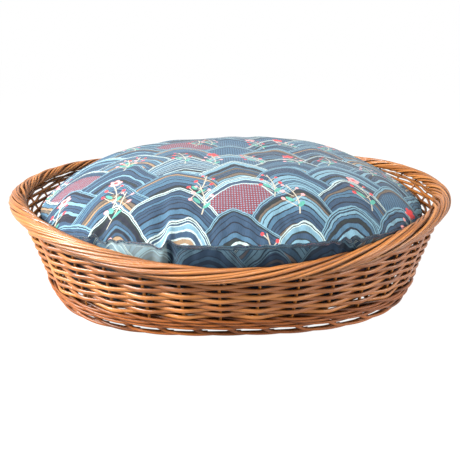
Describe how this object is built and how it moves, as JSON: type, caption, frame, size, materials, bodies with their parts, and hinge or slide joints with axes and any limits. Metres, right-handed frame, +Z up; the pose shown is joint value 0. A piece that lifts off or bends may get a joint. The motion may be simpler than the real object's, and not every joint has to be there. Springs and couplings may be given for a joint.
{
  "type": "wicker pet bed basket",
  "caption": "Oval woven willow pet bed with a low-dipped rolled rim, raised foot border and a loose domed box cushion in printed cotton with a zip cover.",
  "frame": {"origin": "on the floor under the middle of the basket", "axes": "+X along the basket's length, +Y towards the back long side, +Z up"},
  "size_m": [0.7, 0.55, 0.1878],
  "materials": {
    "willow_rod": "satin",
    "willow_border": "satin",
    "willow_stick": "satin",
    "printed_cotton": "matte",
    "calico": "matte",
    "polyester_fibre": "matte",
    "zip_tape": "matte",
    "zip_nylon": "satin",
    "zip_metal": "satin"
  },
  "bodies": {
    "basket": {"foot_border": "willow_border", "foot_stake_ends": "willow_rod", "base_long_sticks": "willow_stick", "base_cross_sticks": "willow_stick", "base_weave": "willow_rod", "side_stakes": "willow_rod", "upsett_wale_1": "willow_rod", "upsett_wale_2": "willow_rod", "upsett_wale_3": "willow_rod", "siding_row_01": "willow_rod", "siding_row_02": "willow_rod", "siding_row_03": "willow_rod", "siding_row_04": "willow_rod", "siding_row_05": "willow_rod", "siding_row_06": "willow_rod", "siding_row_07": "willow_rod", "siding_row_08": "willow_rod", "siding_row_09": "willow_rod", "siding_row_10": "willow_rod", "siding_row_11": "willow_rod", "siding_row_12": "willow_rod", "siding_row_13": "willow_rod", "siding_row_14": "willow_rod", "siding_row_15": "willow_rod", "rolled_border": "willow_border"},
    "cushion": {"cushion_filling": "polyester_fibre", "inner_case": "calico", "cover_top_panel": "printed_cotton", "cover_front_band": "printed_cotton", "cover_back_band": "printed_cotton", "cover_bottom_panel": "printed_cotton", "zip_tape_upper": "zip_tape", "zip_tape_lower": "zip_tape", "zip_coil": "zip_nylon"},
    "zip_slider": {"zip_slider": "zip_metal"}
  },
  "joints": [
    {"name": "cushion_lift", "type": "slide", "parent": "basket", "child": "cushion", "axis": [0, 0, 1], "range_m": [0, 0.2]},
    {"name": "zip_slide", "type": "hinge", "parent": "cushion", "child": "zip_slider", "pos_m": [0, -0.28513, 0.082], "axis": [0, 0, 1], "range_deg": [0, 26.4]}
  ]
}
